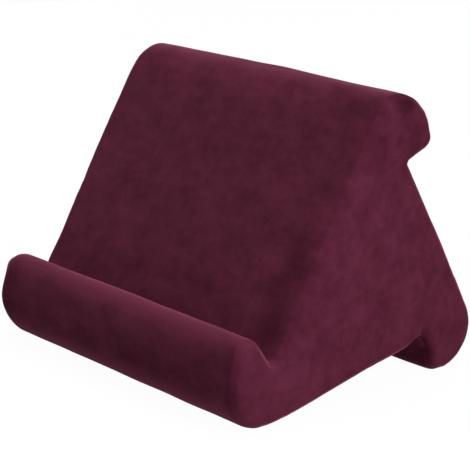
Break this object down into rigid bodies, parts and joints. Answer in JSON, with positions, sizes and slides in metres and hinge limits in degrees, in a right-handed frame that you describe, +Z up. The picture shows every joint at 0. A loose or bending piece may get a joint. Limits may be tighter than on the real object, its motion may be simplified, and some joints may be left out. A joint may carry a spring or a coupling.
{
  "type": "tablet cushion stand",
  "caption": "Foam cushion of pinwheel section in a velour cover, with a lipped rest that holds a tablet or book at a reading angle.",
  "frame": {"origin": "on the floor, under the middle of the cushion's outer box", "axes": "+X runs along the cushion, the lip and the front rest face look towards -Y, +Z is up"},
  "size_m": [0.2896, 0.2534, 0.2262],
  "materials": {
    "velour": "burgundy velour with a short soft pile",
    "foam": "cut upholstery foam, open cells"
  },
  "bodies": {
    "root": {"foam_core": "foam", "front_panel": "velour", "rear_panel": "velour", "base_panel": "velour", "left_end_panel": "velour", "right_end_panel": "velour"}
  },
  "joints": []
}
